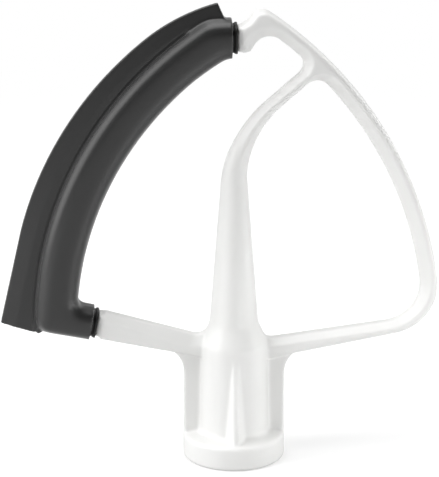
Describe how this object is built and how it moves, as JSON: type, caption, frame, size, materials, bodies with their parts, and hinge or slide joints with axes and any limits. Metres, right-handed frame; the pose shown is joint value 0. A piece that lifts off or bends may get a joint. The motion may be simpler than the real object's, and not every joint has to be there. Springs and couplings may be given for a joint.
{
  "type": "stand mixer flat beater",
  "caption": "Flat mixing beater: a coated cast frame on a flanged shaft socket, with an open loop, a bent stem and a flexible scraper edge bridging its tip and arm.",
  "frame": {"origin": "on the drive socket's axis, at the mouth in the foot's underside", "axes": "+Z along the socket's axis towards the blade's tip, +X towards the loop, -Y towards the viewer of the picture"},
  "size_m": [0.1451, 0.034, 0.1562],
  "materials": {
    "coated_casting": "die-cast, white satin coating",
    "black_nylon": "moulded, satin",
    "grey_silicone": "moulded, matte"
  },
  "bodies": {
    "root": {"beater_frame": "coated_casting", "edge_carrier": "black_nylon", "flex_edge": "grey_silicone"}
  },
  "joints": []
}
